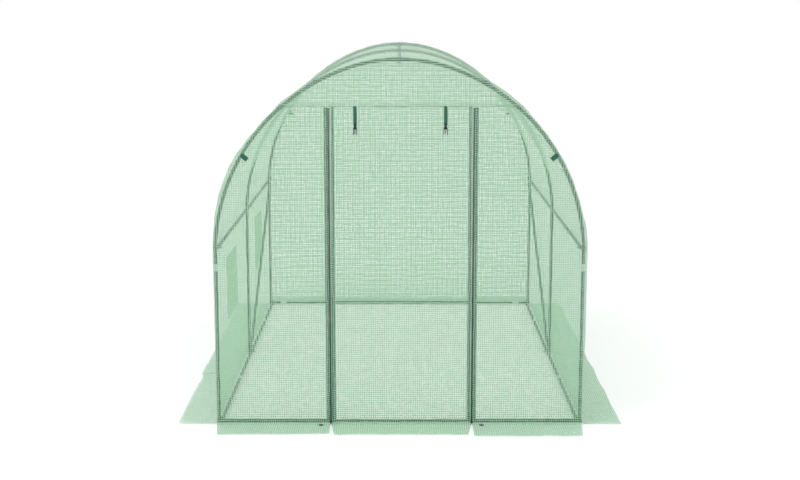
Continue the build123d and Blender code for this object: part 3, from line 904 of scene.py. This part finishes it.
# Outlines in millimetres from the strap's foot: the shell the strap is looped through, a
# prong, the spine and rung between the prongs, and a rib across the shell.
SHELL = [(-6.5, 6), (-8.2, 2), (-8, -2), (-5.8, -8), (-6, -10), (-9.8, -17), (-10.4, -25)]
SHELL += mirrored(SHELL)
PRONG = [(6.6, -24), (7, -43), (7.4, -51), (9.4, -56), (10.6, -52), (11.3, -46), (10, -39), (10.2, -24)]
SPINE = [(-1.6, -24), (-1.2, -50), (1.2, -50), (1.6, -24)]
RUNG = [(-7.5, -37), (-7.5, -39), (7.5, -39), (7.5, -37)]
RIB = [(-7.5, -12), (-7.5, -14), (7.5, -14), (7.5, -12)]

straps, buckles = [], []
for side in (-1, 1):
    t = np.linspace(0, 1, 26)
    z = STRAP_HEAD - t * (STRAP_HEAD - STRAP_FOOT)
    x = STRAP_SHIFT + side * STRAP_X + 0.0008 * np.sin(3 * t) + (0.0015 * t if side < 0 else 0 * t)
    y = front_y(x, z) - 0.0016 - 0.0016 * np.sin(np.pi * t)
    wide = 0.0170 + 0.0020 * t
    straps.append(webbing("strap", stacked(x, y, z), (1, 0, 0), wide, 0.0014))
    foot_x, foot_y = x[-1], y[-1]
    for outline, front, back, bevel in (
        (SHELL, 0.0044, 0.0010, 0.0011),
        (PRONG, 0.0036, 0.0004, 0.0008),
        (mirrored(PRONG), 0.0036, 0.0004, 0.0008),
        (SPINE, 0.0030, -0.0002, 0.0006),
        (RUNG, 0.0026, -0.0006, 0.0005),
        (RIB, 0.0056, -0.0040, 0.0005),
    ):
        outline = placed(outline, foot_x, STRAP_FOOT)
        buckles.append(plate("buckle_part", outline, foot_y - front, foot_y + back, bevel))
strap = joined("door_strap_webbing", strap_weave, straps)
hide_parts("door_straps")
buckle = joined("roll_up_buckles", black_plastic, buckles)
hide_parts("strap_buckles")


# Window screens
# Fine green mesh over each window opening, sewn to the inside of the left wall.

WINDOW_LAP = 0.015
WINDOW_RIM = 0.012
SCREEN_BACK = 0.0012


def window_line(low, high):
    """Places across or up a window patch, and which steps between them lie in its rim."""
    line = stops(low, high, 0.015, low + WINDOW_RIM, high - WINDOW_RIM)
    return line, np.minimum(line[:-1] - low, high - line[1:]) < WINDOW_RIM - 1e-6


def window_patch(middle, lift):
    """A patch over one window that follows the left wall: its points, its UV, and which faces
    lie in its rim. lift is how far out from the wall it stands, by the shares across it and
    down it."""
    left, right = middle - WINDOW_HALF - WINDOW_LAP, middle + WINDOW_HALF + WINDOW_LAP
    low, high = WINDOW_LOW - WINDOW_LAP, WINDOW_TOP + WINDOW_LAP
    along, side_rim = window_line(left, right)
    up, end_rim = window_line(low, high)
    G, Y = np.meshgrid(up, along, indexing="ij")
    stand_off = lift((Y - left) / (right - left), (high - G) / (high - low))
    points = stacked(-COVER_HALF - cover_out(G, Y) - stand_off, Y, G)
    return points, stacked(Y, G), end_rim[:, None] | side_rim[None, :]


screen_mesh = film("screen_mesh", 0.05, 0.97, 0.0009, 0.0009, pitch=0.0022)
for label, middle in WINDOWS.items():
    points, uv, _ = window_patch(middle, lambda across, down: -SCREEN_BACK)
    screen = sheet(f"{label}_window_mesh", screen_mesh, points, uv)
    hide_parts("window_screens")


# Window flaps
# A flap of plain film over each opening, sewn on along its top outside the wall and rolled
# right down, with a turned-in hem all round.

HEM_BACK = 0.0006  # the turned-in hem lies this far behind its flap
flap_film = film("flap_film", 0.70, 0.80, 0.0020, 0.0016, pitch=0.006)


def flap_lift(across, down):
    """A flap's stand-off: close at its top, and fuller towards its foot, by a belly across it
    and slow waves."""
    belly = np.sin(np.pi * across) * down
    return 0.0016 + 0.0030 * belly + 0.0010 * down * (1 + waves(across, down, 51, 0.25, 0.7))


for label, middle in WINDOWS.items():
    points, uv, rim = window_patch(middle, flap_lift)
    flap = sheet(f"{label}_window_flap", flap_film, points, uv)
    shifted, hem_uv = points + (HEM_BACK, 0, 0), uv + (0.5, 0.0)
    hem = sheet(f"{label}_window_flap_hem", flap_film, shifted, hem_uv, rim)
    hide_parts("window_flaps")


# Guy loops
# A short length of webbing folded double and sewn flat at each shoulder of both end walls,
# with the fold outwards.

LOOP_R, LOOP_TURN, LOOP_Z = 0.952, 30.0, 1.0  # from the tunnel's middle at this height
LOOP_LEANS = ((-1, 40.0), (1, 42.0))  # each side's loop and the degrees it points up
LOOP_LENGTH, LOOP_WIDTH, LOOP_THICK = 0.042, 0.025, 0.0012
NEAR_LAYER, BEND = 0.0010, 0.0016  # under layer off the wall, and the fold's radius

for label, way in (("front", -1), ("back", 1)):
    loops = []
    for side, lean in LOOP_LEANS:
        turn, lean = np.radians(LOOP_TURN), np.radians(lean)
        middle = np.array([side * LOOP_R * np.cos(turn), LOOP_Z + LOOP_R * np.sin(turn)])
        under = stacked(np.linspace(-0.5, 0.45, 9) * LOOP_LENGTH, np.full(9, NEAR_LAYER))
        bend = np.radians(np.linspace(-90, 90, 9)[1:-1])
        fold = (0.45 * LOOP_LENGTH, 0.0026) + BEND * stacked(np.cos(bend), np.sin(bend))
        back = np.linspace(0.45, -0.5, 12)
        lift = 0.0026 + BEND * np.clip((back + 0.35) / 0.4, 0, 1)
        over = stacked(back * LOOP_LENGTH, lift)
        line = np.concatenate([under, fold, over])
        x, z = (middle + line[:, :1] * (side * np.cos(lean), np.sin(lean))).T
        wall = front_y(x, z) if way < 0 else END + end_waves(x, z, BACK_WAVES)
        path = stacked(x, wall + way * line[:, 1], z)
        across = (-side * np.sin(lean), 0.0, np.cos(lean))
        loops.append(webbing("loop", path, across, LOOP_WIDTH, LOOP_THICK))
    loop = joined(f"{label}_guy_loop_webbing", strap_weave, loops)
    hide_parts(f"{label}_guy_loops")


# Side and back skirts
# Strips of the cover's film sewn along its foot and spread out on the ground, creased at the
# wall and a little crumpled. The left one has a pleat beside the front window.

PLEAT_Y = -0.55
HOLE_HALF = 0.006  # half the square that is cut out under an eyelet
# The left skirt's film is a paler, more see-through copy of the skirt film. This is painted light: it
# stands in for the stronger light that falls on the left skirt from the left.
PAINTED_LIGHT_SKIRT_FILM, USUAL = film("skirt_film_painted_light", 0.20, 0.95), film("skirt_film", 0.40, 0.97)


def skirt(node_name, inner, outer, seed, crumple, finish=USUAL, pleat=False, hole=None):
    """A strip of film on the ground between two lines of points (n, 2), inner at the wall. It
    rises a little at the wall and lies in shallow waves, with a low ridge along the pleat.
    hole is the middle of a square cut out of it."""
    width = np.linalg.norm(outer - inner, axis=1).mean()
    through = ()
    if hole is not None:
        reach = abs(hole[1] - inner[0, 1]) / width
        through = (reach - HOLE_HALF / width, reach + HOLE_HALF / width)
    share = stops(0.0, 1.0, 0.016 / width, *through)
    ground = inner[:, None] + share[None, :, None] * (outer - inner)[:, None]
    away = share[None, :] * np.linalg.norm(outer - inner, axis=1)[:, None]
    x, y = ground[..., 0], ground[..., 1]
    rough = np.clip(away / 0.05, 0, 1)
    if hole is not None:
        rough = rough * np.clip((np.hypot(x - hole[0], y - hole[1]) - 0.02) / 0.04, 0, 1)
    z = 0.0014 + 0.011 * np.exp(-away / 0.006)
    z += crumple * rough * np.maximum(0.0, 1 + waves(x, y, seed, 0.12, 0.5))
    z += 0.5 * crumple * rough * np.abs(waves(x, y, seed + 1, 0.04, 0.12))
    if pleat:
        z += 0.010 * rough * np.exp(-(((y - PLEAT_Y - 0.10 * away) / 0.010) ** 2))
    keep = None
    if hole is not None:
        middles = (ground[:-1, :-1] + ground[1:, 1:]) / 2
        keep = np.abs(middles - hole).max(-1) > 0.97 * HOLE_HALF
    points, uv = stacked(x, y, z), ground
    if np.cross(points[1, 0] - points[0, 0], points[0, 1] - points[0, 0])[2] < 0:
        points, uv, keep = points[::-1], uv[::-1], None if keep is None else keep[::-1]
    made = sheet(f"{node_name}_film", finish, points, uv, keep)
    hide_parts(node_name)


SKIRT_ENDS = (-END - 0.0005, END + 0.0005)
SEAM_OUT = 0.001  # the skirts' seams are this far out from the film's middle
along = stops(*SKIRT_ENDS, 0.018, PLEAT_Y)
for label, side, reaches, seeds, crumple, finish in (
    # the left skirt takes the paler copy of the film, a painted light for the left side
    ("left", -1, (0.2095, 0.2335), (61, 63), 0.0045, PAINTED_LIGHT_SKIRT_FILM),
    ("right", 1, (0.2135, 0.2295), (62, 67), 0.0030, USUAL),
):
    inner = stacked(np.full_like(along, side * (COVER_HALF + SEAM_OUT)), along)
    reach = np.interp(along, SKIRT_ENDS, reaches) + 0.003 * waves(along, 0 * along, seeds[0], 0.2, 0.9)
    pleat = label == "left"
    if pleat:
        reach += 0.012 * np.clip((along - PLEAT_Y) / 0.02, 0, 1) * np.clip((0.2 - along) / 0.6, 0, 1)
    outer = inner + reach[:, None] * (side, 0)
    skirt(f"{label}_skirt", inner, outer, seeds[1], crumple, finish, pleat)

across = stops(-COVER_HALF, COVER_HALF, 0.018)
inner = stacked(across, np.full_like(across, END + SEAM_OUT))
reach = 0.215 + 0.004 * waves(across, 0 * across, 64, 0.2, 0.9)
outer = inner * (0.985, 1.0) + reach[:, None] * (0, 1)
skirt("back_skirt", inner, outer, 65, 0.004)


# Front skirt
# Three flaps of the same film on the ground before the door wall, parted at the zips. The
# outer two each have an eyelet for a peg beside the zip.

EYELET_X, EYELET_Y = 0.440, -1.5235  # out from the door's middle
for label, side, ends, outer_ends, outer_y in (
    ("left", -1, (-1.0045, -0.3795), (-0.979, -0.379), (-1.6865, -1.6765)),
    ("middle", 0, (-0.3757, 0.3957), (-0.351, 0.368), (-1.6895, -1.6895)),
    ("right", 1, (0.3995, 1.0045), (0.401, 0.981), (-1.7115, -1.7155)),
):
    hole = (DOOR_X + side * EYELET_X, EYELET_Y) if side else None
    through = (hole[0] - HOLE_HALF, hole[0] + HOLE_HALF) if side else ()
    x = stops(*ends, 0.018, *through)
    share = (x - ends[0]) / (ends[1] - ends[0])
    inner = stacked(x, np.full_like(x, -END - SEAM_OUT))
    edge = np.interp(share, (0, 1), outer_y) + 0.0025 * waves(x, 0 * x, 71 + side, 0.15, 0.6)
    outer = stacked(np.interp(share, (0, 1), outer_ends), edge)
    skirt(f"front_{label}_skirt", inner, outer, 74 + 2 * side, 0.0028, hole=hole)


# Skirt eyelets
# Two-part black plastic eyelets closed through the outer front flaps, each a ring with a
# rolled lip.


def turned(name, profile, middle, count=40):
    """A ring turned about an upright axis from a closed line of (radius, height) points."""
    profile = np.vstack([profile, profile[:1]])
    angle = np.radians(np.arange(count + 1) * 360.0 / count) % (2 * np.pi)
    radius, height = profile[:, :1], profile[:, 1:] + 0 * angle
    points = middle + stacked(radius * np.cos(angle), radius * np.sin(angle), height)
    return sheet(name, None, points, points[..., :2])


# The ring's section: radius and height from its middle, in millimetres
RING = [(13, 0.1), (12.8, 0.8), (11.8, 1.3), (9.4, 1.5), (7.6, 2.2), (6.2, 2.3), (5.3, 1.8), (5, 1)]
RING += [(5, -1), (5.5, -1.3), (8, -1.4), (12.6, -1.3), (13, -0.9)]
RING_Z = 0.0024
rings = []
for side in (-1, 1):
    middle = (DOOR_X + side * EYELET_X, EYELET_Y, RING_Z)
    rings.append(turned("eyelet", placed(RING, 0.0, 0.0), middle))
eyelets = joined("skirt_eyelet_rings", black_plastic, rings)
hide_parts("skirt_eyelets")
